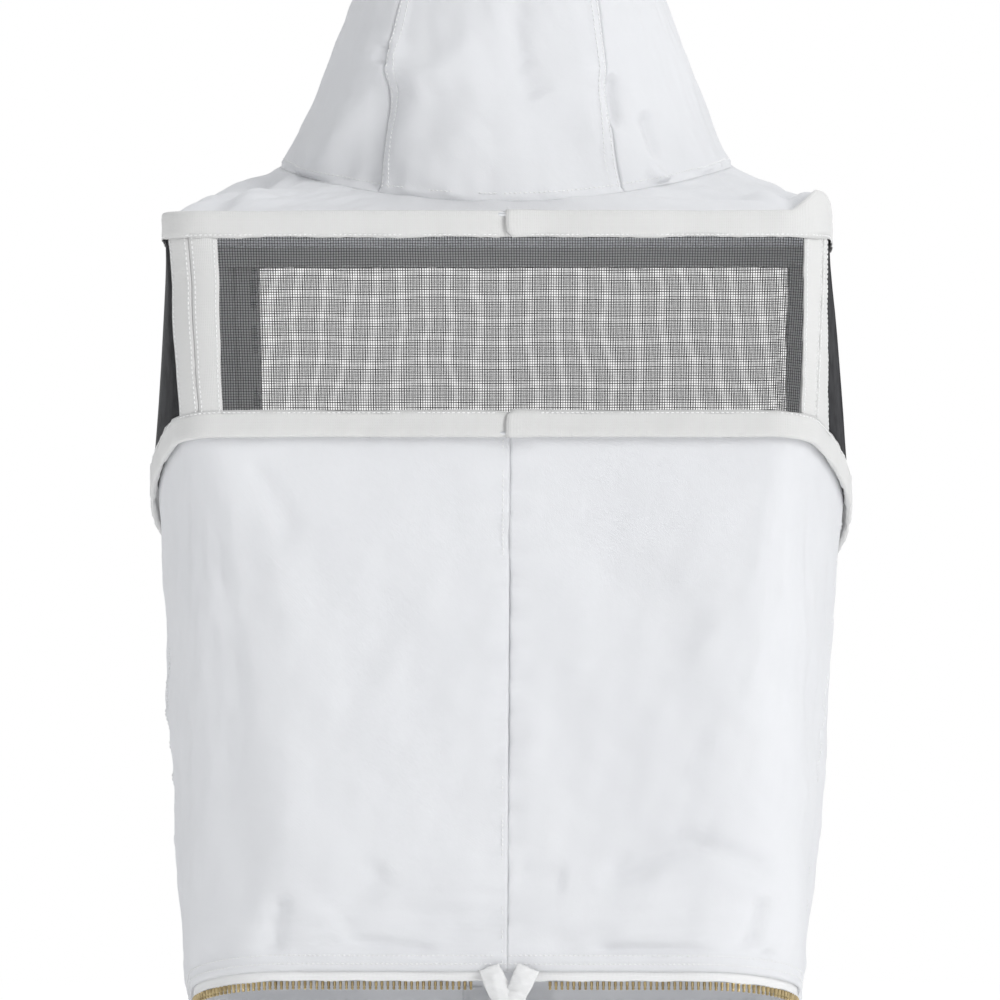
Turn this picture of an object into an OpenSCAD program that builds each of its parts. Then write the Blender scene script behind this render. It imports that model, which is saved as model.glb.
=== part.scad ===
// Square folding bee veil with a zip-on cape, the head part of a beekeeping suit.
// It stands as it is worn: +Z up, -Y the back of the head, +Y the face, +X the wearer's right.
// The origin is below the middle of the hoops, level with the lowest point of the front zip.

/* [Hoops] */
// Straight part of the upper hoop's bars, from the middle to the bend
upper_bar = 170; // [150:1:185]
// Straight part of the lower hoop's bars, from the middle to the bend
lower_bar = 165; // [150:1:180]
// Half depth of both hoops in plan, front to back
hoop_half_depth = 200; // [185:1:215]
// Bend radius at the hoops' corners
bend_r = 30; // [26:1:40]
// Bow of the upper hoop's sides, as the angle each bend falls short of square
upper_bow = 4; // [2:0.5:8]
// Bow of the lower hoop's sides, as the angle each bend falls short of square
lower_bow = 15.6; // [12:0.1:22]
// Diameter of the spring wire in the hoops
wire_d = 2.2; // [1.8:0.1:2.3]
// Length of the crimped ferrule that joins the ends of a wire
ferrule_len = 16; // [10:1:24]

/* [Binding] */
// Height of the folded tape on the hoops
binding_h = 16; // [14:1:20]
// Thickness of the folded tape with the wire in it
binding_w = 4; // [4:0.1:5]
// Thickness of one layer of the tape
tape_t = 0.45; // [0.3:0.05:0.45]
// Width of the strips at the veil's corners
strip_w = 18; // [14:1:20]
// Thickness of the corner strips
strip_t = 1.2; // [0.8:0.1:1.3]

/* [Heights] */
// Height from the hem to the lower hoop at the middle of a side
cape_h = 330; // [260:5:400]
// Height from the lower hoop to the upper hoop at the middle of a side
veil_h = 170; // [150:5:220]
// Fall of the hem and of the lower hoop towards the face, as a slope
fall = 0.25; // [0.15:0.01:0.3]

/* [Crown] */
// Half width of the crown at its base seam
crown_half_w = 138.5; // [125:0.5:150]
// Half depth of the crown at its base seam
crown_half_d = 150; // [130:1:155]
// Distance of the crown's middle behind the middle of the hoops
crown_back = 35; // [20:1:40]
// How much the crown's half width shrinks from the base to the rim
crown_taper = 50; // [35:1:60]
// Height of the rim over the upper hoop
crown_rim_h = 171; // [140:1:200]
// Height of the domed top over the rim
dome_h = 28; // [15:1:40]
// Angle from the middle of the back to each back seam
back_seam = 34; // [30:1:45]
// Angle from the middle of the back to each front seam
front_seam = 130; // [120:1:140]

/* [Cloth] */
// Thickness of the cotton in the crown, the brim and the cape
cloth_t = 1.2; // [0.8:0.1:1.3]
// Thickness of the veil mesh
mesh_t = 0.7; // [0.4:0.1:0.9]

/* [Hem] */
// Straight part of the hem's front and back, from the middle to the bend
hem_bar = 121; // [110:1:140]
// Bend radius at the hem's corners
hem_r = 65; // [50:1:80]
// Half depth of the hem, front to back
hem_half_depth = 160; // [150:1:175]

/* [Zip] */
// Distance from one tooth to the next
tooth_pitch = 3.6; // [3.2:0.1:5]
// Distance from the middle of the back to the first tooth
zip_gap_back = 22; // [18:1:30]
// Distance from the middle of the front to the first tooth
zip_gap_front = 20; // [20:1:24]
// Distance from the middle of the front to each parked slider
slider_x = 44; // [42:1:50]
// Length of the pull tab
pull_len = 24; // [16:1:30]

/* [Throat flap] */
// Width of the flap over the front ends of the zip
flap_w = 60; // [50:1:62]
// Height of the flap
flap_h = 60; // [45:1:60]

/* [Hidden] */

// Each loop is [bar, bend radius, half depth, bow]
tilt = atan(fall);
upper_loop = [upper_bar, bend_r, hoop_half_depth, upper_bow];
lower_loop = [lower_bar, bend_r, hoop_half_depth / cos(tilt), lower_bow];
hem_loop = [hem_bar, hem_r, hem_half_depth, 2];

// Shares of a quarter loop that go to its half bar and to its bend; the side has the rest
bar_share = 0.36;
bend_share = 0.28;
side_share = 1 - bar_share - bend_share;

// Slider, all sizes measured from the line of the teeth
slider_len = 12;
slider_up = 3.5;
slider_down = 7.5;
slider_gap = 3.4;
slider_plate = 0.8;
wedge_r = 0.9;
wedge_x = -3.5;
wedge_z = -3.3;
lug_t = 0.9;
lug_gap = 4;
pin_r = 0.7;
pin_run = 0.08;
pin_out = 1.5;
pull_t = 1.1;
pull_w = 7;

// Heights of the hem, the hoops and the crown's rim at the middle of a side
hem_z = slider_down + fall * hem_half_depth;
lower_z = hem_z + cape_h;
upper_z = lower_z + veil_h;
rim_z = upper_z + crown_rim_h;

// Crown base seam over the upper hoop, at the back, the sides and the front
seam_back_h = 13.5;
seam_side_h = 44;
seam_front_h = 40;
crown_taper_d = 44;
taper_bend = 0.94;
panel_gap = 0.15;
seam_gap = 1.5;

// Binding: the wire lies in the fold, the cloth edges go between the two layers
fold_z = binding_h / 2;
slot = binding_w / 2 - tape_t;
fold_bevel = 0.8;
ferrule_r = slot - 0.05;
wire_run = 0.05;
wire_up = fold_z - tape_t - ferrule_r - 0.15;
tuck = 3;
behind = 3.8;
cloth_gap = 0.3;

// Sweatband: a strip from the base seam up to the size of a head
band_half_w = 95;
band_half_d = 112;
band_h = 24;
band_t = 2;

// Corner strips start this far round the bend, with a gap between the pair
strip_start = 7;
strip_gap = 1;

// Zip tape and teeth, measured up and down from the line of the teeth
tape_low = 2.4;
tape_high = 14;
zip_tape_t = 0.8;
cape_low = 8;
cape_top = -3;
cape_out = 2.4;
tooth = [1.7, 2.4, 4.4];
tape_start_back = 10;
box_len = 6;
box_x = 12;
box_w = 4;
box_bore_r = 1.15;
box_bore_z = -5.6;
box_up = 2.5;
box_end = 1;

// Folded tape ends at the middle of the back; the right one laps over the left one
tab_w = 12;
tab_len = 34;
tab_t = 1.6;
tab_lean = 24;
tab_y = -hem_half_depth - 6;
tab_top = 17;

// Throat flap, hung from its top edge
flap_up = 55;
flap_t = 2;
flap_r = 10;
patch = [40, 1.2, 20];
patch_drop = 34;
patch_gap = 0.2;

fine = 48;

function mix(a, b, w) = a + (b - a) * w;

// The same loop, moved inwards all round
function inset(loop, by) = [loop[0], loop[1] - by, loop[2] - by, loop[3]];
function side_r(loop) = (loop[2] - loop[1]) / sin(loop[3]) + loop[1];
function side_x(loop) = loop[0] + (loop[1] - side_r(loop)) * cos(loop[3]);
function bend_len(loop) = loop[1] * (90 - loop[3]) * PI / 180;
function side_len(loop) = side_r(loop) * loop[3] * PI / 180;
function quarter_len(loop) = loop[0] + bend_len(loop) + side_len(loop);

// Point on a quarter of a loop, from the middle of the back (0) to the middle of the right side (1)
function quarter(loop, w) =
    w < bar_share ? [loop[0] * w / bar_share, -loop[2]]
    : w < bar_share + bend_share
    ? let (a = -90 + (90 - loop[3]) * (w - bar_share) / bend_share)
      [loop[0] + loop[1] * cos(a), loop[1] - loop[2] + loop[1] * sin(a)]
    : let (a = -loop[3] * (1 - w) / side_share)
      [side_x(loop) + side_r(loop) * cos(a), side_r(loop) * sin(a)];

// Point on a whole loop: 0 is the back, 1 the right side, 2 the front, 3 the left side
function around(loop, t) =
    let (q = (t % 4 + 4) % 4)
    q <= 1 ? quarter(loop, q)
    : q <= 2 ? let (p = quarter(loop, 2 - q)) [p.x, -p.y]
    : q <= 3 ? let (p = quarter(loop, q - 2)) [-p.x, -p.y]
    : let (p = quarter(loop, 4 - q)) [-p.x, p.y];

// Place round a quarter loop, 0 to 1, that lies a length along it from the middle of the back
function round_at(loop, length) =
    length < loop[0] ? bar_share * length / loop[0]
    : length < loop[0] + bend_len(loop)
    ? bar_share + bend_share * (length - loop[0]) / bend_len(loop)
    : 1 - side_share * (quarter_len(loop) - length) / side_len(loop);

// The same over a half loop, 0 to 2, from the middle of the back to the middle of the front
function half_at(loop, length) =
    length <= quarter_len(loop) ? round_at(loop, length)
    : 2 - round_at(loop, 2 * quarter_len(loop) - length);

// Points on the hoops and on the hem, moved inwards and up from the loop's own line
function on_upper(t, by, up) = let (p = around(inset(upper_loop, by), t)) [p.x, p.y, upper_z + up];
function on_lower(t, by, up) = let (p = around(inset(lower_loop, by), t))
    [p.x, p.y * cos(tilt) + up * sin(tilt), lower_z - p.y * sin(tilt) + up * cos(tilt)];
function on_hem(t, by, up) = let (p = around(inset(hem_loop, by), t))
    [p.x, p.y, hem_z - fall * p.y + up];

// Height of the crown's base seam at an angle from the middle of the back
function seam_z(phi) =
    let (ends = (seam_back_h + seam_front_h) / 2)
    upper_z + (ends + seam_side_h) / 2 + (seam_back_h - seam_front_h) / 2 * cos(phi)
    + (ends - seam_side_h) / 2 * cos(2 * phi);

// Point on an oval about the crown's middle
function on_oval(half_w, half_d, phi, z) =
    [half_w * sin(phi), -crown_back - half_d * cos(phi), z];

// Point on the crown, from its base seam (0) to its rim (1)
function on_crown(phi, h) =
    on_oval(crown_half_w - crown_taper * pow(h, taper_bend),
        crown_half_d - crown_taper_d * pow(h, taper_bend),
        phi, mix(seam_z(phi) + seam_gap, rim_z, h));

// Angle of a plan point about the crown's middle, from the back
function crown_angle(p) = atan2(p.x, -p.y - crown_back);

// Places round a loop, 0 to 4, with this many steps to a half bar, and more where it curves
function stations(bar_steps) =
    let (quarter = concat([for (k = [0:bar_steps - 1]) bar_share * k / bar_steps],
            [for (k = [0:5]) bar_share + bend_share * k / 6],
            [for (k = [0:4]) bar_share + bend_share + side_share * k / 5]),
        n = len(quarter))
    [for (q = [0, 2]) each concat([for (w = quarter) q + w], [q + 1],
        [for (k = [n - 1:-1:1]) q + 2 - quarter[k]])];

// Closed sheet of even thickness over a surface of u and v, both 0 to 1; its outside faces
// the side from which u runs to the right and v runs up
module sheet(shape, thick, nu, nv) {
    d = 0.001;
    normal = function(u, v)
        let (n = cross(shape(u + d, v) - shape(u - d, v), shape(u, v + d) - shape(u, v - d)))
        n / norm(n);
    layer = function(side) [for (j = [0:nv]) for (i = [0:nu])
        let (u = mix(d, 1 - d, i / nu), v = mix(d, 1 - d, j / nv))
        shape(u, v) + side * thick / 2 * normal(u, v)];
    row = nu + 1;
    n = row * (nv + 1);
    skin = [for (j = [0:nv - 1]) for (i = [0:nu - 1])
        let (a = j * row + i, b = a + 1, c = b + row, e = a + row)
        each [[a, e, c], [a, c, b], [a + n, c + n, e + n], [a + n, b + n, c + n]]];
    ends = [for (i = [0:nu - 1]) each
        [[i, i + 1, i + 1 + n, i + n],
         [nv * row + i + 1, nv * row + i, nv * row + i + n, nv * row + i + 1 + n]]];
    sides = [for (j = [0:nv - 1]) let (a = j * row, b = a + nu) each
        [[a + row, a, a + n, a + row + n], [b, b + row, b + row + n, b + n]]];
    polyhedron(concat(layer(1), layer(-1)), concat(skin, ends, sides));
}

// Closed ring with the section's points at every station; place gives a point from a station
// and a section point
module ring(section, places, place) {
    m = len(section);
    n = len(places);
    points = [for (t = places) for (s = section) place(t, s)];
    faces = [for (i = [0:n - 1]) for (k = [0:m - 1])
        let (i2 = (i + 1) % n, k2 = (k + 1) % m,
            a = i * m + k, b = i2 * m + k, c = i2 * m + k2, e = i * m + k2)
        each [[a, b, c], [a, c, e]]];
    polyhedron(points, faces);
}

// Section of a strip of cloth that goes from one end to the other: [across, along]
function strip_section(thick, rows) = concat(
    [for (k = [0:rows]) [thick / 2, k / rows]],
    [for (k = [0:rows]) [-thick / 2, 1 - k / rows]]);

// Round wire
wire_section = [for (k = [0:9]) wire_d / 2 * [cos(36 * k), sin(36 * k)]];

// Folded tape, open at the bottom
function binding_section() =
    let (w = binding_w / 2, top = fold_z - tape_t, b = fold_bevel)
    [[w, -fold_z], [w, fold_z - b], [w - b, fold_z], [b - w, fold_z], [-w, fold_z - b], [-w, -fold_z],
     [-slot, -fold_z], [-slot, top - b], [b - slot, top], [slot - b, top], [slot, top - b],
     [slot, -fold_z]];

// Tube crimped over the joint of a hoop wire, on its back bar
module ferrule(loop) {
    translate([-ferrule_len / 2, -loop[2], 0]) rotate([0, 90, 0]) difference() {
        cylinder(h = ferrule_len, r = ferrule_r, $fn = fine);
        translate([0, 0, -1]) cylinder(h = ferrule_len + 2, r = wire_d / 2 + wire_run, $fn = fine);
    }
}

// Lays a child made in the plane of a hoop at that hoop's height and tilt
module at_upper() translate([0, 0, upper_z + wire_up]) children();
module at_lower() translate([0, 0, lower_z]) rotate([-tilt, 0, 0]) translate([0, 0, -wire_up]) children();

module upper_hoop_wire() {
    color("lightsteelblue")
        ring(wire_section, stations(1), function(t, s) on_upper(t, -s.x, wire_up + s.y));
}

module lower_hoop_wire() {
    color("lightsteelblue")
        ring(wire_section, stations(1), function(t, s) on_lower(t, -s.x, s.y - wire_up));
}

module upper_hoop_ferrule() { color("silver") at_upper() ferrule(upper_loop); }
module lower_hoop_ferrule() { color("silver") at_lower() ferrule(lower_loop); }

module upper_hoop_binding() {
    color("gainsboro") ring(binding_section(), stations(1), function(t, s) on_upper(t, -s.x, s.y));
}

// The lower hoop's tape is open at the top, where the mesh goes in
module lower_hoop_binding() {
    color("gainsboro") ring(binding_section(), stations(1), function(t, s) on_lower(t, s.x, -s.y));
}

// Part of the veil wall between the two hoops, from one place round the loops to another
module veil_wall(from, to, thick, nu) {
    sheet(function(u, v) mix(on_lower(mix(from, to, u), 0, fold_z - tuck),
            on_upper(mix(from, to, u), 0, tuck - fold_z), v),
        thick, nu, 5);
}

// Places round the veil, 0 to 1, where the corner strips begin and end
strip_a = round_at(upper_loop, upper_bar + strip_start);
strip_b = round_at(upper_loop, upper_bar + strip_start + strip_w);
strip_c = round_at(upper_loop, upper_bar + strip_start + strip_w + strip_gap);
strip_d = round_at(upper_loop, upper_bar + strip_start + 2 * strip_w + strip_gap);
mesh_edge = cloth_gap / quarter_len(upper_loop);

// Mesh across a hoop's bar, and mesh along its side
module bar_mesh(middle) {
    reach = strip_a - mesh_edge;
    color("dimgray") veil_wall(middle - reach, middle + reach, mesh_t, 14);
}

module side_mesh(middle) {
    reach = 1 - strip_d - mesh_edge;
    color("dimgray") veil_wall(middle - reach, middle + reach, mesh_t, 12);
}

module back_mesh() { bar_mesh(0); }
module front_mesh() { bar_mesh(2); }
module right_mesh() { side_mesh(1); }
module left_mesh() { side_mesh(3); }

// Pair of strips on a corner: one edges the bar's mesh and one the side's mesh
module corner_strips(corner, way) {
    pairs = [[strip_a, strip_b], [strip_c, strip_d]];
    for (p = pairs) {
        ends = way > 0 ? [corner + p[0], corner + p[1]] : [corner - p[1], corner - p[0]];
        color("gainsboro") veil_wall(ends[0], ends[1], strip_t, 4);
    }
}

module corner_strips_back_right() { corner_strips(0, 1); }
module corner_strips_front_right() { corner_strips(2, -1); }
module corner_strips_front_left() { corner_strips(2, 1); }
module corner_strips_back_left() { corner_strips(4, -1); }

// Cloth from the crown's base seam out to the upper hoop, one piece all round
module brim() {
    place = function(t, s)
        let (rim = on_upper(t, behind, fold_z / 2), phi = crown_angle(rim),
            base = on_oval(crown_half_w, crown_half_d, phi, seam_z(phi)),
            run = base - rim, out = [run.x, run.y, 0] / norm([run.x, run.y]),
            normal = [-out.x * run.z, -out.y * run.z, norm([run.x, run.y])] / norm(run))
        mix(rim, base, s.y) - normal * s.x;
    color("whitesmoke") ring(strip_section(cloth_t, 3), stations(5), place);
}

// Sweatband, sewn into the base seam and drawn in to the size of a head
module sweatband() {
    place = function(phi, s)
        on_oval(mix(crown_half_w - 7, band_half_w, s.y) + s.x,
            mix(crown_half_d - 7, band_half_d, s.y) + s.x,
            phi, seam_z(phi) + 2 + band_h * s.y);
    color("white") ring(strip_section(band_t, 2), [for (k = [0:47]) 360 * k / 48], place);
}

// Side panel of the crown between two angles
module crown_panel(from, to, nu) {
    color("whitesmoke") sheet(function(u, v) on_crown(mix(from + panel_gap, to - panel_gap, u), v),
        cloth_t, nu, 7);
}

module crown_back_panel() { crown_panel(-back_seam, back_seam, 10); }
module crown_right_panel() { crown_panel(back_seam, front_seam, 12); }
module crown_front_panel() { crown_panel(front_seam, 360 - front_seam, 12); }
module crown_left_panel() { crown_panel(360 - front_seam, 360 - back_seam, 12); }

// Domed oval top of the crown, an open shell with its rim down on the side panels
module crown_top() {
    rings = 5;
    sides = 40;
    layer = function(in) concat(
        [for (k = [0:rings - 1]) for (i = [0:sides - 1])
            let (e = 90 * k / rings, wide = pow(cos(e), 0.8))
            on_oval((crown_half_w - crown_taper + cloth_t / 2 - in) * wide,
                (crown_half_d - crown_taper_d + cloth_t / 2 - in) * wide,
                360 * i / sides, rim_z + seam_gap + (dome_h - in) * sin(e))],
        [on_oval(0, 0, 0, rim_z + seam_gap + dome_h - in)]);
    apex = rings * sides;
    n = apex + 1;
    wall = [for (k = [0:rings - 2]) for (i = [0:sides - 1])
        let (a = k * sides + i, b = k * sides + (i + 1) % sides, c = b + sides, e = a + sides)
        each [[a, e, c], [a, c, b], [a + n, c + n, e + n], [a + n, b + n, c + n]]];
    tip = [for (i = [0:sides - 1])
        let (a = apex - sides + i, b = apex - sides + (i + 1) % sides)
        each [[a, apex, b], [a + n, b + n, apex + n]]];
    rim = [for (i = [0:sides - 1]) let (b = (i + 1) % sides) [i, b, b + n, i + n]];
    color("whitesmoke") polyhedron(concat(layer(0), layer(cloth_t)), concat(wall, tip, rim));
}

// Panel of the cape between two places round the loops, from the hem up to the lower hoop
module cape_panel(from, to, nu) {
    edge = cloth_gap / 2 / quarter_len(lower_loop);
    color("white") sheet(function(u, v)
            let (t = mix(from + edge, to - edge, u))
            mix(on_hem(t, -cape_out, cape_low), on_lower(t, behind, cape_top), v),
        cloth_t, nu, 8);
}

module cape_back_right() { cape_panel(0, 1, 18); }
module cape_front() { cape_panel(1, 3, 36); }
module cape_back_left() { cape_panel(3, 4, 18); }

// Half of the zip tape round the hem, made on the wearer's right
module zip_tape() {
    from = half_at(hem_loop, tape_start_back);
    to = 2 - round_at(hem_loop, box_x + box_len + cloth_gap);
    color("white") sheet(function(u, v) on_hem(mix(from, to, u), 0, mix(tape_low, tape_high, v)),
        zip_tape_t, 40, 1);
}

// Row of separate metal teeth along that half of the hem
module zip_teeth() {
    run = 2 * quarter_len(hem_loop) - zip_gap_back - zip_gap_front;
    color("darkgoldenrod") for (k = [0:floor(run / tooth_pitch)]) {
        t = half_at(hem_loop, zip_gap_back + k * tooth_pitch);
        ahead = on_hem(t + 0.001, 0, 0) - on_hem(t - 0.001, 0, 0);
        translate(on_hem(t, 0, 0)) rotate([0, 0, atan2(ahead.y, ahead.x)]) cube(tooth, center = true);
    }
}

module zip_tape_right() { zip_tape(); }
module zip_tape_left() { mirror([1, 0, 0]) zip_tape(); }
module zip_teeth_right() { zip_teeth(); }
module zip_teeth_left() { mirror([1, 0, 0]) zip_teeth(); }

// End of the zip tape, folded over and stitched down beside the middle of the back
module zip_end_tab(out) {
    r = 2;
    color("white") translate([tab_w / 2, tab_y - out, hem_z + fall * hem_half_depth + tab_top])
        rotate([0, tab_lean, 0]) translate([tab_w / 2, 0, -tab_len]) rotate([90, 0, 0])
        linear_extrude(tab_t, center = true) union() {
            translate([r - tab_w / 2, 0]) square([tab_w - 2 * r, tab_len]);
            translate([-tab_w / 2, r]) square([tab_w, tab_len - 2 * r]);
            for (x = [-1, 1]) for (z = [r, tab_len - r])
                translate([x * (tab_w / 2 - r), z]) circle(r = r, $fn = fine);
        }
}

module zip_end_tab_right() { zip_end_tab(tab_t + cloth_gap); }
module zip_end_tab_left() { mirror([1, 0, 0]) zip_end_tab(0); }

// Moves a child from the line of the front teeth to its place at the hem
module at_front_zip(x) translate([x, hem_half_depth, hem_z - fall * hem_half_depth]) children();

// Retainer box at the front end of a chain; the suit's zip pin goes into its bore
module zip_box() {
    color("goldenrod") at_front_zip(box_x) difference() {
        translate([0, -box_w / 2, -slider_down]) cube([box_len, box_w, slider_down + box_up]);
        translate([box_end, 0, box_bore_z]) rotate([0, 90, 0])
            cylinder(h = box_len, r = box_bore_r, $fn = fine);
    }
}

module zip_box_right() { zip_box(); }
module zip_box_left() { mirror([1, 0, 0]) zip_box(); }

// Outline of a slider's plates, narrower at its closed end
module slider_outline() {
    l = slider_len / 2;
    polygon([[-l, -slider_down + 1.5], [-l + 1.5, -slider_down], [l - 1, -slider_down + 1],
        [l, -slider_down + 2], [l, slider_up - 2], [l - 1, slider_up - 1], [-l + 1.5, slider_up],
        [-l, slider_up - 1.5]]);
}

// Zip slider: two plates either side of the teeth, the wedge between them, and lugs with a pin
module slider() {
    face = slider_gap / 2 + slider_plate;
    middle = (slider_up - slider_down) / 2;
    color("goldenrod") at_front_zip(slider_x) {
        for (y = [-1, 1])
            translate([0, y * (face - slider_plate / 2), 0]) rotate([90, 0, 0])
                linear_extrude(slider_plate, center = true) slider_outline();
        translate([wedge_x, 0, wedge_z]) rotate([90, 0, 0])
            cylinder(h = 2 * face - slider_plate, r = wedge_r, center = true, $fn = fine);
        for (z = [-1, 1])
            translate([-1.5, face - 0.1, middle + z * (lug_gap + lug_t) / 2 - lug_t / 2])
                cube([3, pin_out + pin_r + 0.6, lug_t]);
        translate([0, face + pin_out, middle - lug_gap / 2 - lug_t / 2])
            cylinder(h = lug_gap + lug_t, r = pin_r, $fn = fine);
    }
}

// Pull tab with an eye that turns on the slider's pin and a hole near its round end
module pull() {
    eye_r = 1.5;
    eye_h = lug_gap - 0.5;
    round_x = pull_len - pull_w / 2;
    neck_x = 7;
    middle = (slider_up - slider_down) / 2;
    color("goldenrod") at_front_zip(slider_x)
        translate([0, slider_gap / 2 + slider_plate + pin_out, middle]) difference() {
            union() {
                cylinder(h = eye_h, r = eye_r, center = true, $fn = fine);
                translate([0, -pull_t / 2, -eye_h / 2]) cube([neck_x + 1, pull_t, eye_h]);
                translate([neck_x, -pull_t / 2, -pull_w / 2]) cube([round_x - neck_x, pull_t, pull_w]);
                translate([round_x, 0, 0]) rotate([90, 0, 0])
                    cylinder(h = pull_t, r = pull_w / 2, center = true, $fn = fine);
            }
            cylinder(h = eye_h + 2, r = pin_r + pin_run, center = true, $fn = fine);
            translate([round_x, 0, 0]) rotate([90, 0, 0])
                cylinder(h = 2 * pull_t, r = 1.6, center = true, $fn = fine);
        }
}

module slider_right() { slider(); }
module slider_left() { mirror([1, 0, 0]) slider(); }
module pull_right() { pull(); }
module pull_left() { mirror([1, 0, 0]) pull(); }

// Height of the flap's sewn edge, and the lean of the cape's front that the flap lies along
flap_z = hem_z - fall * hem_half_depth + flap_up;
front_low = on_hem(2, -cape_out, cape_low);
front_high = on_lower(2, behind, cape_top);
flap_lean = atan((front_high.y - front_low.y) / (front_high.z - front_low.z));
flap_out = cloth_t / 2 + cloth_gap + patch.y + patch_gap + flap_t / 2;
flap_y = front_low.y + (flap_z - front_low.z) * tan(flap_lean) + flap_out / cos(flap_lean);

// Lays a child that hangs down from the flap's sewn edge at the throat
module at_flap() translate([0, flap_y, flap_z]) rotate([-flap_lean, 0, 0]) children();

// Flap over the front ends of the zip
module throat_flap() {
    color("white") at_flap() rotate([90, 0, 0]) linear_extrude(flap_t, center = true) union() {
        translate([-flap_w / 2, flap_r - flap_h]) square([flap_w, flap_h - flap_r]);
        translate([flap_r - flap_w / 2, -flap_h]) square([flap_w - 2 * flap_r, flap_h]);
        for (x = [-1, 1]) translate([x * (flap_w / 2 - flap_r), flap_r - flap_h])
            circle(r = flap_r, $fn = fine);
    }
}

// Patch of hook tape on the inside of the flap
module hook_patch() {
    color("lightgray") at_flap()
        translate([-patch.x / 2, -flap_t / 2 - patch_gap - patch.y, -patch_drop - patch.z])
            cube(patch);
}

crown_top();
crown_back_panel();
crown_left_panel();
crown_right_panel();
crown_front_panel();
brim();
sweatband();
upper_hoop_wire();
upper_hoop_ferrule();
upper_hoop_binding();
lower_hoop_wire();
lower_hoop_ferrule();
lower_hoop_binding();
back_mesh();
left_mesh();
right_mesh();
front_mesh();
corner_strips_back_left();
corner_strips_back_right();
corner_strips_front_left();
corner_strips_front_right();
cape_back_left();
cape_back_right();
cape_front();
zip_tape_left();
zip_tape_right();
zip_teeth_left();
zip_teeth_right();
zip_end_tab_left();
zip_end_tab_right();
zip_box_left();
zip_box_right();
slider_left();
slider_right();
pull_left();
pull_right();
throat_flap();
hook_patch();
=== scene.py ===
"""Square folding bee veil with its zip-on cape: cloth, mesh, stitching and zip around the frame.

Lengths are in metres in the frame's own axes: -Y is the back of the head, +X the wearer's right.
"""
import math
from math import pi

import bpy
import numpy as np
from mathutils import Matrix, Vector


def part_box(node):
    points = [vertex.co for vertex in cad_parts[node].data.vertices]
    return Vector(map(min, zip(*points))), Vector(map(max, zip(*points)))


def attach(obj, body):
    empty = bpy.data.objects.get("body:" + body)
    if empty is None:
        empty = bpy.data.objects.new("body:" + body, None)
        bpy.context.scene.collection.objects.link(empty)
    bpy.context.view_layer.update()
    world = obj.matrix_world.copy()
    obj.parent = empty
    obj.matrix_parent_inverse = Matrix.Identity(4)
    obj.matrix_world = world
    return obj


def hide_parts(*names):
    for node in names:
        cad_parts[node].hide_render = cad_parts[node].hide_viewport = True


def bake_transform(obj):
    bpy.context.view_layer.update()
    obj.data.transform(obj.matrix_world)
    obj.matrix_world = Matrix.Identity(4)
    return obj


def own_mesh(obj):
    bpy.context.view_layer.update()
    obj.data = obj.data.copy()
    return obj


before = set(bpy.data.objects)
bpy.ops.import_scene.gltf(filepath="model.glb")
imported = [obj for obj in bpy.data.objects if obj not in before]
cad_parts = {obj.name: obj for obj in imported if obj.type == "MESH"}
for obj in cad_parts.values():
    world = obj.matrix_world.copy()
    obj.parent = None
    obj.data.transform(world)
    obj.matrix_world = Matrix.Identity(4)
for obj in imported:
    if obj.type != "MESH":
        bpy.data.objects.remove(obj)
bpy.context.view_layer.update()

RNG = np.random.default_rng(7)

# ---------------------------------------------------------------- places from the frame


def middle_z(node):
    """Height of the middle of a node's box."""
    low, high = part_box(node)
    return (low.z + high.z) / 2


UPPER_Z = middle_z("upper_hoop_binding")
LOWER_Z = middle_z("lower_hoop_binding")
HEM_Z = middle_z("zip_teeth_left")
RIM_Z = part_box("crown_top")[0].z - 0.0015
CROWN_TOP_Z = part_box("crown_top")[1].z
FALL = 0.25
TILT = math.atan(FALL)
HOOP_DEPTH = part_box("upper_hoop_binding")[1].y - 0.002
HEM_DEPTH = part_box("zip_teeth_left")[1].y - 0.0012

CLOTH_T = 0.0010
# From the middle of the cloth's thickness out to its stitches
SEWN_OUT = 0.0006

# Shares of a quarter loop that go to its half bar, its bend and its side
BAR, BEND = 0.36, 0.28
SIDE = 1 - BAR - BEND


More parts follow.
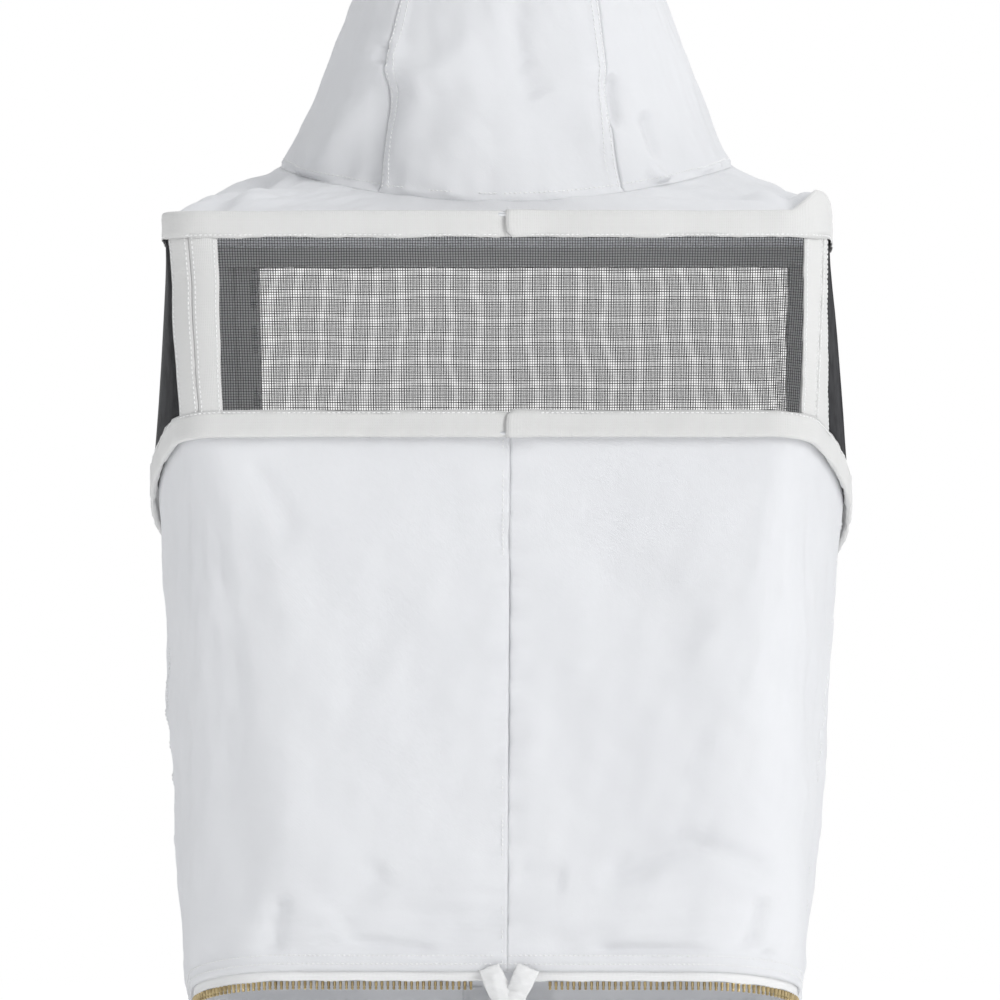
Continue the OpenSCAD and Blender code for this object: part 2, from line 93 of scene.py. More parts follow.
class Loop:
    """A hoop or the hem from above: straight front and back bars, round bends and bowed sides."""

    def __init__(self, bar, bend, depth, bow_deg):
        self.bar, self.bend, self.depth = bar, bend, depth
        self.bow = math.radians(bow_deg)
        self.side_r = (depth - bend) / math.sin(self.bow) + bend
        bend_len = bend * (pi / 2 - self.bow)
        self.quarter_len = bar + bend_len + self.side_r * self.bow
        lengths = np.array([0, bar, bar + bend_len, self.quarter_len])
        places = np.array([0, BAR, BAR + BEND, 1])
        total = 2 * self.quarter_len
        self.lengths = np.concatenate([lengths, (total - lengths)[2::-1]])
        self.places = np.concatenate([places, (2 - places)[2::-1]])

    def place(self, length):
        """Place round the loop, 0 back, 1 right, 2 front, 3 left, at a length along it from the back."""
        half = 2 * self.quarter_len
        turns = np.floor(np.asarray(length) / half)
        return 2 * turns + np.interp(length - turns * half, self.lengths, self.places)

    def length(self, place):
        """The reverse of place()."""
        turns = np.floor(np.asarray(place) / 2)
        return 2 * turns * self.quarter_len + np.interp(place - 2 * turns, self.places, self.lengths)

    def xy(self, place, inward=0.0):
        """Plan point at a place round the loop, moved inwards."""
        q = np.mod(place, 4)
        w = 1 - np.abs(np.mod(q, 2) - 1)
        bend, depth = self.bend - inward, self.depth - inward
        side_r = self.side_r - inward
        side_x = self.bar + (bend - side_r) * math.cos(self.bow)
        turn = -pi / 2 + (pi / 2 - self.bow) * (w - BAR) / BEND
        bow = -self.bow * (1 - w) / SIDE
        on_bar, on_bend = w < BAR, w < BAR + BEND
        x = np.where(on_bar, self.bar * w / BAR,
                     np.where(on_bend, self.bar + bend * np.cos(turn), side_x + side_r * np.cos(bow)))
        y = np.where(on_bar, -depth,
                     np.where(on_bend, bend - depth + bend * np.sin(turn), side_r * np.sin(bow)))
        return x * np.where(q <= 2, 1, -1), y * np.where((q <= 1) | (q > 3), 1, -1)


UPPER = Loop(0.170, 0.030, HOOP_DEPTH, 4.0)
LOWER = Loop(0.165, 0.030, HOOP_DEPTH / math.cos(TILT), 15.6)
HEM = Loop(0.121, 0.065, HEM_DEPTH, 2.0)


def stack(x, y, z):
    """Points from three arrays of coordinates."""
    return np.stack(np.broadcast_arrays(x, y, z), -1)


def unit(vectors):
    """Vectors of length 1."""
    return vectors / np.linalg.norm(vectors, axis=-1, keepdims=True)


def outward(loop, place):
    """Unit vectors in plan that point straight out of a loop."""
    reach = 0.01
    x, y = loop.xy(place, -reach)
    x0, y0 = loop.xy(place)
    return stack(x - x0, y - y0, 0 * x) / reach


def on_upper(place, inward=0.0, up=0.0):
    x, y = UPPER.xy(place, inward)
    return stack(x, y, UPPER_Z + up)


def on_lower(place, inward=0.0, up=0.0):
    x, y = LOWER.xy(place, inward)
    return stack(x, y * math.cos(TILT) + up * math.sin(TILT),
                 LOWER_Z - y * math.sin(TILT) + up * math.cos(TILT))


# The cape hangs a little towards the wearer's left at the sides of the hem
HEM_SKEW = 0.0055


def on_hem(place, inward=0.0, up=0.0):
    x, y = HEM.xy(place, inward)
    skew = HEM_SKEW * np.cos(np.clip(y / HEM_DEPTH, -1, 1) * pi / 2) ** 2
    return stack(x - skew, y, HEM_Z - FALL * y + up)


# Crown: half sizes at the base seam and how much they shrink to the rim
CROWN_W, CROWN_D, CROWN_BACK = 0.1385, 0.150, 0.035
TAPER_W, TAPER_D, TAPER_BEND = 0.050, 0.044, 0.94
SEAM_BACK, SEAM_SIDE, SEAM_FRONT = 0.0135, 0.044, 0.040
BACK_SEAM, FRONT_SEAM = math.radians(34), math.radians(130)
# The crown is sewn this far to the wearer's right
CROWN_OFF = 0.0035


def seam_z(phi):
    """Height of the crown's base seam at an angle from the middle of the back."""
    ends = (SEAM_BACK + SEAM_FRONT) / 2
    return (UPPER_Z + (ends + SEAM_SIDE) / 2 + (SEAM_BACK - SEAM_FRONT) / 2 * np.cos(phi)
            + (ends - SEAM_SIDE) / 2 * np.cos(2 * phi))


def on_oval(half_w, half_d, phi, z):
    """Point on an oval about the crown's middle."""
    return stack(CROWN_OFF + half_w * np.sin(phi), -CROWN_BACK - half_d * np.cos(phi), z)


def on_crown(phi, h):
    """Point on the crown from its base seam, h 0, to its rim, h 1."""
    shrink = np.clip(h, 0, 1) ** TAPER_BEND
    base = seam_z(phi) + 0.0015
    return on_oval(CROWN_W - TAPER_W * shrink, CROWN_D - TAPER_D * shrink, phi,
                   base + (RIM_Z - base) * h)


# ---------------------------------------------------------------- small helpers


def mix(a, b, w):
    return a + (b - a) * w


def smooth(x):
    """0 below 0, 1 above 1 and an even S between."""
    x = np.clip(x, 0, 1)
    return x * x * (3 - 2 * x)


def waves(seed, *coords, size, octaves=3, gain=0.5):
    """Smooth wandering field of about unit height; size is the length of its longest waves."""
    rng = np.random.default_rng(seed)
    total, weight = 0.0, 0.0
    for octave in range(octaves):
        for _ in range(5):
            way = rng.normal(size=len(coords))
            way *= 2 * pi * 2 ** octave / (size * np.linalg.norm(way))
            phase = rng.uniform(0, 2 * pi)
            total = total + gain ** octave * np.sin(sum(w * c for w, c in zip(way, coords)) + phase)
        weight += 5 * gain ** (2 * octave) / 2
    return total / math.sqrt(weight)


def crease(x, z, start, end, width, height, lean=0.0):
    """Height of a fold along a line from start to end, fading at both ends; lean makes one flank steep."""
    sx, sz = start
    ex, ez = end
    run = math.hypot(ex - sx, ez - sz)
    along = ((x - sx) * (ex - sx) + (z - sz) * (ez - sz)) / run ** 2
    off = ((x - sx) * (ez - sz) - (z - sz) * (ex - sx)) / run
    off = off / (width * (1 + lean * np.sign(off)))
    fade = smooth((along + 0.15) / 0.3) * smooth((1.15 - along) / 0.3)
    return height * fade * np.exp(-off ** 2)


def creases(x, z, rows):
    """Sum of many creases; a row is start x and z, end x and z, width, height in mm, and lean."""
    return sum(crease(x, z, (a / 1000, b / 1000), (c / 1000, d / 1000), width / 1000, height / 1000, lean)
               for a, b, c, d, width, height, lean in rows)


def grid_normals(points, closed=False):
    """Unit normals of a grid of points, rows running left to right seen from outside, and upwards."""
    if closed:
        along = np.roll(points, -1, 1) - np.roll(points, 1, 1)
    else:
        along = np.gradient(points, axis=1)
    up = np.gradient(points, axis=0)
    return unit(np.cross(along, up))


def in_scene(name, data):
    """New object of the scene with this mesh, light or camera."""
    obj = bpy.data.objects.new(name, data)
    bpy.context.scene.collection.objects.link(obj)
    return obj


def new_object(name, verts, faces, material, uvs=None):
    """Adds a smooth mesh object; uvs has one pair for each vertex."""
    mesh = bpy.data.meshes.new(name)
    mesh.from_pydata(np.asarray(verts).tolist(), [], faces)
    mesh.validate()
    mesh.materials.append(material)
    mesh.polygons.foreach_set("use_smooth", [True] * len(mesh.polygons))
    if uvs is not None:
        layer = mesh.uv_layers.new(name="cloth")
        corners = np.zeros(len(mesh.loops), int)
        mesh.loops.foreach_get("vertex_index", corners)
        layer.data.foreach_set("uv", np.asarray(uvs, float)[corners].ravel())
    return in_scene(name, mesh)


def wrapped(index):
    """A grid of vertex numbers with its first column again at its end."""
    return np.concatenate([index, index[:, :1]], 1)


def quads(index):
    """Faces between the rows and the columns of a grid of vertex numbers."""
    return np.stack([index[:-1, :-1], index[:-1, 1:], index[1:, 1:], index[1:, :-1]], -1).reshape(-1, 4)


def run_along(points):
    """Distance along a line of points, from 0."""
    return np.concatenate([[0], np.cumsum(np.linalg.norm(np.diff(points, axis=0), axis=-1))])


def sheet(name, points, thick, material, closed=False):
    """Closed sheet of even thickness over a grid of points, with UVs in metres of cloth."""
    rows, cols = points.shape[:2]
    normal = grid_normals(points, closed) * thick / 2
    step_u = np.linalg.norm(np.diff(points, axis=1), axis=-1).mean(0)
    step_v = np.linalg.norm(np.diff(points, axis=0), axis=-1).mean(1)
    u, v = np.concatenate([[0], np.cumsum(step_u)]), np.concatenate([[0], np.cumsum(step_v)])
    uv = np.stack(np.meshgrid(u, v), -1).reshape(-1, 2)
    n = rows * cols
    index = np.arange(n).reshape(rows, cols)
    if closed:
        index = wrapped(index)
    skin = quads(index)
    rims = [(index[0, 1:], index[0, :-1]), (index[-1, :-1], index[-1, 1:])]
    if not closed:
        rims += [(index[:-1, 0], index[1:, 0]), (index[1:, -1], index[:-1, -1])]
    rims = [np.stack([near, far, far + n, near + n], -1) for near, far in rims]
    faces = np.concatenate([skin, skin[:, ::-1] + n] + rims).tolist()
    verts = np.concatenate([(points + normal).reshape(-1, 3), (points - normal).reshape(-1, 3)])
    obj = new_object(name, verts, faces, material, np.concatenate([uv, uv]))
    for polygon in obj.data.polygons[2 * len(skin):]:
        polygon.use_smooth = False
    return obj


def band(name, section, places, place_point, material):
    """Sweeps a section of (outward, up) pairs along places, with capped ends; UVs in metres."""
    m, n = len(section), len(places)
    points = np.array([place_point(places, *pair) for pair in section]).transpose(1, 0, 2)
    index = wrapped(np.arange(m * n).reshape(n, m))
    faces = quads(index)[:, [0, 3, 2, 1]].tolist()
    faces += [index[0, :-1].tolist(), index[-1, :-1][::-1].tolist()]
    across = np.cumsum([0] + [math.dist(section[k], section[k - 1]) for k in range(1, m)])
    uv = np.stack(np.meshgrid(across, run_along(points[:, 0])), -1)[..., ::-1].reshape(-1, 2)
    return new_object(name, points.reshape(-1, 3), faces, material, uv)


def tubes(name, lines, radius, material, sides=4):
    """One mesh of thin closed threads; lines is a list of (points, 3) arrays."""
    verts, faces, base = [], [], 0
    angles = 2 * pi * (np.arange(sides) + 0.5) / sides
    for line in lines:
        tangent = unit(np.gradient(line, axis=0))
        ref = np.array([0, 0, 1.0]) if abs(tangent[0, 2]) < 0.7 else np.array([1.0, 0.3, 0])
        side = unit(np.cross(tangent, ref))
        other = np.cross(side, tangent)
        rings = line[:, None] + radius * (np.cos(angles)[:, None] * side[:, None]
                                          + np.sin(angles)[:, None] * other[:, None])
        n = len(line)
        index = base + np.arange(n * sides).reshape(n, sides)
        faces += quads(wrapped(index)).tolist()
        faces += [index[0, ::-1].tolist(), index[-1].tolist()]
        verts.append(rings.reshape(-1, 3))
        base += n * sides
    return new_object(name, np.concatenate(verts), faces, material)


STITCH_PITCH, STITCH_LEN, STITCH_R, STITCH_SIDES = 0.0030, 0.0021, 0.00032, 5


def one_stitch():
    """Vertices and faces of one stitch about its middle: along, across and out."""
    n = STITCH_SIDES
    shape = [(-0.5, 0.0, 0.0)]
    for x, r in ((-0.36, 0.8), (0.0, 1.0), (0.36, 0.8)):
        for k in range(n):
            turn = 2 * pi * k / n
            shape.append((x, r * math.cos(turn), r * math.sin(turn)))
    shape.append((0.5, 0.0, 0.0))
    faces = []
    for a in range(n):
        b = (a + 1) % n
        faces.append((0, 1 + b, 1 + a))
        faces += [(ring + a, ring + b, ring + n + b, ring + n + a) for ring in (1, 1 + n)]
        faces.append((1 + 2 * n + a, 1 + 2 * n + b, 1 + 3 * n))
    return np.array(shape) * [STITCH_LEN, STITCH_R * 1.3, STITCH_R], faces


def stitching(name, rows):
    """One object with rows of short raised stitches; a row is a line of points and their normals."""
    stitch, stitch_faces = one_stitch()
    verts, count = [], 0
    for line, normal in rows:
        run = run_along(line)
        centres = np.arange(STITCH_PITCH, run[-1] - STITCH_PITCH / 2, STITCH_PITCH)

        def pick(values, at):
            return np.stack([np.interp(at, run, values[:, k]) for k in range(3)], -1)

        middle, out = pick(line, centres), unit(pick(normal, centres))
        way = unit(pick(line, centres + 1e-4) - pick(line, centres - 1e-4))
        side = np.cross(way, out)
        raised = stitch[:, 2:3] + STITCH_R * 0.3
        points = (middle[:, None] + stitch[:, 0:1] * way[:, None] + stitch[:, 1:2] * side[:, None]
                  + raised * out[:, None])
        verts.append(points.reshape(-1, 3))
        count += len(centres)
    faces = [[i * len(stitch) + k for k in face] for i in range(count) for face in stitch_faces]
    return new_object(name, np.concatenate(verts), faces, THREAD)


# ---------------------------------------------------------------- how pieces move


def dress(obj, follow, node=None):
    """Says what a piece moves with, a body or a function and its CAD node."""
    if callable(follow):
        follow(obj)
    else:
        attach(obj, follow)
    if node:
        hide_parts(node)


def follow_cape(obj):
    """The cape's cloth goes from the hem, on the collar, up to the lower hoop."""
    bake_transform(obj)


def follow_veil(obj):
    """The mesh hangs from the upper hoop and moves with it, with a mesh of its own."""
    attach(obj, "upper_frame")
    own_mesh(obj)


def follow_crown(obj):
    """The crown's sides go from the brim up to the cap that sinks."""
    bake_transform(obj)


# ---------------------------------------------------------------- materials


class Nodes:
    """Short way to build the node tree of a material or the world."""

    def __init__(self, owner, kind="Material"):
        self.owner = owner
        owner.use_nodes = True
        self.tree = owner.node_tree
        self.tree.nodes.clear()
        self.out = self.tree.nodes.new("ShaderNodeOutput" + kind)
        if kind == "Material":
            self.place = self.add("ShaderNodeTexCoord").outputs["Object"]

    def add(self, kind, **inputs):
        """New node; lower-case keys set its properties and the rest its inputs."""
        node = self.tree.nodes.new(kind)
        for key, value in inputs.items():
            name = key.replace("_", " ")
            if key[0].islower():
                setattr(node, key, value)
            elif isinstance(value, bpy.types.NodeSocket):
                self.tree.links.new(value, node.inputs[name])
            else:
                node.inputs[name].default_value = value
        return node

    def math(self, operation, a, b):
        """Result of one sum; a is a socket, b a socket or a number."""
        node = self.add("ShaderNodeMath", operation=operation)
        self.tree.links.new(a, node.inputs[0])
        if isinstance(b, bpy.types.NodeSocket):
            self.tree.links.new(b, node.inputs[1])
        else:
            node.inputs[1].default_value = b
        return node.outputs[0]

    def noise(self, scale, detail, roughness=0.5, place=None):
        return self.add("ShaderNodeTexNoise", Vector=place or self.place, Scale=scale, Detail=detail,
                        Roughness=roughness).outputs["Fac"]

    def bump(self, height, strength, distance, **inputs):
        return self.add("ShaderNodeBump", Strength=strength, Distance=distance, Height=height,
                        **inputs).outputs["Normal"]

    def shader(self, **inputs):
        return self.add("ShaderNodeBsdfPrincipled", **inputs).outputs[0]

    def mixed(self, share, a, b):
        """Shader that goes from a to b with share."""
        node = self.add("ShaderNodeMixShader", Fac=share)
        self.tree.links.new(a, node.inputs[1])
        self.tree.links.new(b, node.inputs[2])
        return node.outputs[0]

    def camera_ray(self):
        return self.add("ShaderNodeLightPath").outputs["Is Camera Ray"]

    def done(self, shader):
        """The material or world, with this shader as its look."""
        self.tree.links.new(shader, self.out.inputs["Surface"])
        return self.owner

    def ramp(self, value, low, high, colour_a, colour_b):
        """Colour that goes from a to b as value goes from low to high."""
        node = self.add("ShaderNodeValToRGB", Fac=value)
        for element, place, colour in zip(node.color_ramp.elements, (low, high), (colour_a, colour_b)):
            element.position = place
            element.color = (*colour, 1)
        return node.outputs["Color"]


def fine_waves(n, vector, period, direction):
    """Bands with one dark line to each period, in metres."""
    scale = 2 * pi / (20 * period)
    return n.add("ShaderNodeTexWave", wave_type="BANDS", bands_direction=direction, Vector=vector,
                 Scale=scale, Distortion=0.0).outputs["Fac"]


def woven(name, colour, shade, weave, period, sheen=0.35, see_through=0.3, depth=0.00012, rough=0.9):
    """White cloth: a weave from its UVs in metres, loose fibres, slight unevenness, painted shade in the
    weave's hollows and sheen.
    """
    n = Nodes(bpy.data.materials.new(name))
    uv = n.add("ShaderNodeUVMap", uv_map="cloth").outputs["UV"]
    if weave == "twill":
        turned = n.add("ShaderNodeVectorRotate", rotation_type="Z_AXIS", Vector=uv,
                       Angle=math.radians(27)).outputs["Vector"]
        lines = fine_waves(n, turned, period, "X")
        yarns = fine_waves(n, uv, period * 0.6, "Y")
        height = n.math("ADD", lines, n.math("MULTIPLY", yarns, 0.35))
    elif weave == "ribbed":
        lines = fine_waves(n, uv, period, "X")
        yarns = fine_waves(n, uv, period * 1.6, "Y")
        height = n.math("ADD", lines, n.math("MULTIPLY", yarns, 0.5))
    else:
        height = n.math("MAXIMUM", fine_waves(n, uv, period, "X"), fine_waves(n, uv, period, "Y"))
    slub = n.noise(420.0, 3.0, 0.6)
    height = n.math("ADD", height, n.math("MULTIPLY", slub, 0.8))
    height = n.math("ADD", height, n.math("MULTIPLY", n.noise(2600.0, 2.0, 0.7), 0.4))
    base = n.ramp(n.noise(9.0, 4.0, 0.55), 0.30, 0.70, shade, colour)
    # Painted shade: the colour is darkened a little where the weave's bump is low, in its hollows
    hollow_shade = n.ramp(n.math("MULTIPLY", height, 0.5), 0.1, 0.9, (0.72, 0.72, 0.74), (1, 1, 1))
    tone_with_hollow_shade = n.add("ShaderNodeMix", data_type="RGBA", blend_type="MULTIPLY", Factor=0.10)
    n.tree.links.new(base, tone_with_hollow_shade.inputs["A"])
    n.tree.links.new(hollow_shade, tone_with_hollow_shade.inputs["B"])
    tone_with_hollow_shade = tone_with_hollow_shade.outputs["Result"]
    bump = n.bump(height, 0.55, depth)
    bump = n.bump(n.noise(55.0, 3.0), 0.25, 0.0012, Normal=bump)
    rough_map = n.math("ADD", n.math("MULTIPLY", slub, 0.12), rough - 0.06)
    shader = n.shader(Base_Color=tone_with_hollow_shade, Roughness=rough_map, Sheen_Weight=sheen, Sheen_Roughness=0.45,
                      Normal=bump, Specular_IOR_Level=0.25)
    if see_through:
        glow = n.add("ShaderNodeBsdfTranslucent", Color=tone_with_hollow_shade, Normal=bump).outputs[0]
        shader = n.mixed(see_through, shader, glow)
    return n.done(shader)


def thread_material():
    """White sewing thread with a fine twist."""
    n = Nodes(bpy.data.materials.new("sewing_thread"))
    twist = n.noise(1800.0, 2.0)
    colour = n.ramp(twist, 0.3, 0.7, (0.76, 0.76, 0.76), (0.90, 0.90, 0.90))
    return n.done(n.shader(Base_Color=colour, Roughness=0.6, Sheen_Weight=0.3,
                           Normal=n.bump(twist, 0.4, 0.0001)))


def coated_mesh_material():
    """Black coated mesh thread, a little dusty where it is worn."""
    n = Nodes(bpy.data.materials.new("coated_mesh"))
    dust = n.noise(60.0, 5.0, 0.7)
    colour = n.ramp(dust, 0.35, 0.75, (0.018, 0.018, 0.020), (0.060, 0.060, 0.064))
    rough = n.math("ADD", n.math("MULTIPLY", dust, 0.3), 0.35)
    return n.done(n.shader(Base_Color=colour, Roughness=rough, Specular_IOR_Level=0.4,
                           Normal=n.bump(n.noise(3000.0, 2.0), 0.3, 0.00005)))


def metal(name, bright, dull, rough):
    """Metal with tarnish in patches, fine scratches and uneven polish."""
    n = Nodes(bpy.data.materials.new(name))
    patch = n.noise(160.0, 5.0, 0.65)
    stretched = n.add("ShaderNodeMapping", Vector=n.place, Scale=(1.0, 1.0, 12.0)).outputs["Vector"]
    scratches = n.noise(900.0, 2.0, place=stretched)
    uneven = n.math("ADD", n.math("MULTIPLY", patch, 0.25), rough - 0.1)
    return n.done(n.shader(Base_Color=n.ramp(patch, 0.35, 0.65, dull, bright), Metallic=1.0,
                           Roughness=uneven, Normal=n.bump(scratches, 0.15, 0.00005)))


COTTON = woven("cotton_twill", (0.875, 0.880, 0.895), (0.845, 0.850, 0.868), "twill", 0.00075)
TAPE = woven("binding_tape_cloth", (0.710, 0.708, 0.700), (0.665, 0.662, 0.654), "ribbed", 0.0011,
             see_through=0.08, depth=0.00018)
ZIP_TAPE = woven("zip_tape_cloth", (0.83, 0.83, 0.83), (0.77, 0.77, 0.77), "ribbed", 0.0008,
                 see_through=0.08)
TERRY = woven("sweatband_cloth", (0.84, 0.84, 0.84), (0.76, 0.76, 0.77), "plain", 0.0014,
              see_through=0.1, depth=0.0004, sheen=0.5)
HOOKS = woven("hook_tape_cloth", (0.80, 0.80, 0.80), (0.70, 0.70, 0.70), "plain", 0.0016,
              see_through=0.0, depth=0.0006, sheen=0.1, rough=0.6)
THREAD = thread_material()
MESH = coated_mesh_material()
BRASS = metal("zip_brass", (0.56, 0.45, 0.25), (0.30, 0.23, 0.12), 0.36)
STEEL = metal("spring_steel", (0.62, 0.63, 0.65), (0.48, 0.49, 0.51), 0.32)
ALUMINIUM = metal("crimped_aluminium", (0.80, 0.81, 0.82), (0.66, 0.67, 0.69), 0.42)

# ---------------------------------------------------------------- hoops

# The cloth is sewn a little towards the wearer's right of the hoops' middle, front and back
SEWN_OFF = 0.008
TAPE_H = 0.016
TAPE_W = 0.004
TAPE_T = 0.00045
FOLD_DEPTH = 0.0022
STITCH_UP = -0.0064


def folded_tape_section(flip):
    """Section of tape folded over the wire: round at the fold, open where the mesh goes in."""
    half, top = TAPE_W / 2, TAPE_H / 2
    outer = [(half, -top), (half * 1.02, -top * 0.55), (half * 0.92, 0.0), (half, top * 0.45)]
    for k in range(1, 8):
        a = pi * k / 8
        outer.append((half * math.cos(a), top - FOLD_DEPTH + FOLD_DEPTH * math.sin(a)))
    outer += [(-half, top * 0.45), (-half * 0.92, 0.0), (-half * 1.02, -top * 0.55), (-half, -top)]
    inner = [(x * (half - TAPE_T) / half, y - (TAPE_T if y > -top else 0)) for x, y in outer[::-1]]
    return [(x, y * flip) for x, y in outer + inner][::flip]


def even_places(loop, start, end, step):
    """Places at even lengths round a loop."""
    return loop.place(np.linspace(start, end, int((end - start) / step)))


def hoop_tape(name, loop, on_loop, flip, seed):
    """The folded tape round a hoop, with its start lapped over its far end at the back."""
    total = 4 * loop.quarter_len
    lap = 0.013
    start = SEWN_OFF - 0.001

    def point(place, outward, up):
        length = np.linspace(start, start + total + lap, len(place))
        over = smooth((start + lap + 0.010 - length) / 0.010)
        under = smooth((length - start - total + 0.0030) / 0.0025)
        side = math.copysign(1, outward + 1e-9)
        open_way = float(np.clip(1 - (up * flip / TAPE_H + 0.5) / 0.5, 0, 1))
        corner = 0.0042 * (1 - math.sqrt(1 - open_way ** 2)) * smooth((start + lap - length) / lap)
        place = loop.place(length + corner)
        wobble = (0.00030 * waves(seed, length, size=0.09)
                  + 0.00014 * waves(seed + 5, length, up, size=0.02)) * side
        spread = outward * (1 + 0.42 * over - 0.34 * under) + wobble
        swell = 0.0003 + 0.00025 * waves(seed + 1, length, size=0.16)
        edge = (0.00010 * waves(seed + 2 + int(outward > 0), length, size=0.012, octaves=2)
                + 0.00030 * waves(seed + 6, length, size=0.10))
        at_fold, at_edge = smooth(2.4 * up * flip / TAPE_H - 0.2), smooth(-2.4 * up * flip / TAPE_H - 0.2)
        rise = up * (1 + 0.05 * over - 0.04 * under) + flip * swell * at_fold + edge * at_edge
        if loop is UPPER:
            rise = rise + corner_ear(place) * smooth((up / TAPE_H + 0.5) / 0.9)
        return on_loop(place, -spread, rise)

    places = even_places(loop, start, start + total + lap, 0.0035)
    return band(name, folded_tape_section(flip), places, point, TAPE)


def build_hoops():
    """The tape over each hoop and the stitches near its open edges, inside and out."""
    for hoop, loop, on_loop, flip, body in (("upper_hoop", UPPER, on_upper, 1, "upper_frame"),
                                            ("lower_hoop", LOWER, on_lower, -1, "lower_hoop")):
        tape = hoop_tape(hoop + "_tape", loop, on_loop, flip, seed=11 + flip)
        dress(tape, body, hoop + "_binding")
        places = even_places(loop, SEWN_OFF + 0.012, SEWN_OFF + 4 * loop.quarter_len - 0.004, 0.004)
        rows = []
        for side in (1, -1):
            line = on_loop(places, -side * TAPE_W / 2, STITCH_UP * flip)
            beyond = on_loop(places, -side * (TAPE_W / 2 + 0.01), STITCH_UP * flip)
            rows.append((line, beyond - line))
        dress(stitching(hoop + "_stitches", rows), body)


# ---------------------------------------------------------------- veil

MESH_PITCH = 0.0016
MESH_THREAD_R = 0.00021
STRIP_W, STRIP_GAP, STRIP_T = 0.018, 0.0004, 0.0013
# From the middle of a strip's thickness out to its stitches
STRIP_OUT = 0.00072
STRIP_RUN = np.array([0, STRIP_W, STRIP_W + STRIP_GAP, 2 * STRIP_W + STRIP_GAP])
RIGHT_EDGES = UPPER.place(UPPER.bar + 0.0165 + STRIP_RUN)
LEFT_EDGES = UPPER.place(UPPER.bar - 0.0038 + STRIP_RUN)
# How much further round the lower hoop than the upper one the strips end
RIGHT_LEAN, LEFT_LEAN = 0.050, 0.0045
VEIL_LOW = TAPE_H / 2 - 0.003


def veil_point(place, height):
    """Point on the veil's wall between the hoops, height 0 to 1, with a little slack."""
    low = on_lower(place, 0.0, VEIL_LOW)
    high = on_upper(place, 0.0, -VEIL_LOW)
    point = mix(low, high, np.asarray(height)[..., None])
    bulge = (0.0005 * waves(31, *UPPER.xy(place), height * 0.2, size=0.16, octaves=2)
             * np.sin(pi * np.clip(height, 0, 1)))
    return point + outward(UPPER, place) * bulge[..., None]


def veil_mesh(name, start, end):
    """Open mesh between two places: upright threads and level threads that cross them."""
    total = UPPER.length(end) - UPPER.length(start)
    count = int(total / MESH_PITCH)
    places = UPPER.place(UPPER.length(start) + np.linspace(0, total, count + 1))
    ends = veil_point((start + end) / 2, np.array([0.0, 1.0]))
    tall = float(np.linalg.norm(ends[1] - ends[0]))
    rows = int(tall / MESH_PITCH)
    lines = []
    for k, place in enumerate(places):
        heights = np.linspace(0, 1, 11)
        lean = 0.00010 * waves(41, heights * 0.2, place * 0.4 + 0 * heights, size=0.08)
        lines.append(veil_point(place + lean / UPPER.quarter_len, heights))
    long_way = UPPER.place(UPPER.length(start) + np.linspace(0, total, max(24, int(total / 0.009))))
    for k in range(rows + 1):
        height = k / rows + 0.0001 / tall * waves(43, long_way * 0.4, size=0.07)
        line = veil_point(long_way, height)
        line[:, :2] *= 1 - 1.5 * MESH_THREAD_R / np.linalg.norm(line[:, :2], axis=1, keepdims=True)
        lines.append(line)
    return tubes(name, lines, MESH_THREAD_R, MESH)


def corner_strip(name, start, end, seed, lean):
    """Strip of tape sewn over the edge of the mesh, with rows of stitches."""
    total = UPPER.length(end) - UPPER.length(start)
    lengths = np.linspace(0, total, 9)
    heights = np.linspace(0, 1, 40)
    grid_l, grid_h = np.meshgrid(lengths, heights)
    sway = 0.0004 * waves(seed, grid_h * 0.2, size=0.14)
    points = veil_point(UPPER.place(UPPER.length(start) + grid_l + sway) + lean * (1 - grid_h), grid_h)
    normal = grid_normals(points)
    swell = 0.0001 * waves(seed + 1, grid_l, grid_h * 0.2, size=0.03)
    swell = 0.00015 * np.sin(pi * grid_l / total) + swell
    points = points + normal * swell[..., None]
    rows = []
    for column in (1, 7):
        for out in (normal[:, column], -normal[:, column]):
            rows.append((points[:, column] + out * STRIP_OUT, out))
    return sheet(name, points, STRIP_T, TAPE), rows


def build_veil():
    over, over_far = 0.012 / UPPER.quarter_len, 0.006 / UPPER.quarter_len
    right, right_far = RIGHT_EDGES[0] + over, RIGHT_EDGES[3] - over_far
    left, left_far = LEFT_EDGES[0] + over, LEFT_EDGES[3] - over_far
    for name, start, end in (("back_mesh", -left, right), ("right_mesh", right_far, 2 - right_far),
                             ("front_mesh", 2 - right, 2 + left),
                             ("left_mesh", 2 + left_far, 4 - left_far)):
        dress(veil_mesh(name + "_threads", start, end), follow_veil, name)
    corners = (("back_right", 0, 1, RIGHT_EDGES, RIGHT_LEAN), ("front_right", 2, -1, RIGHT_EDGES, RIGHT_LEAN),
               ("front_left", 2, 1, LEFT_EDGES, LEFT_LEAN), ("back_left", 4, -1, LEFT_EDGES, LEFT_LEAN))
    rows = []
    for index, (corner, base, way, (a, b, c, d), lean) in enumerate(corners):
        for kind, near, far in (("bar", a, b), ("side", c, d)):
            start, end = sorted((base + way * near, base + way * far))
            strip, sewn = corner_strip(f"strip_{corner}_{kind}", start, end, 50 + 7 * index, way * lean)
            rows += sewn
            dress(strip, follow_veil, "corner_strips_" + corner)
    dress(stitching("corner_strip_stitches", rows), follow_veil)


# ---------------------------------------------------------------- crown and brim

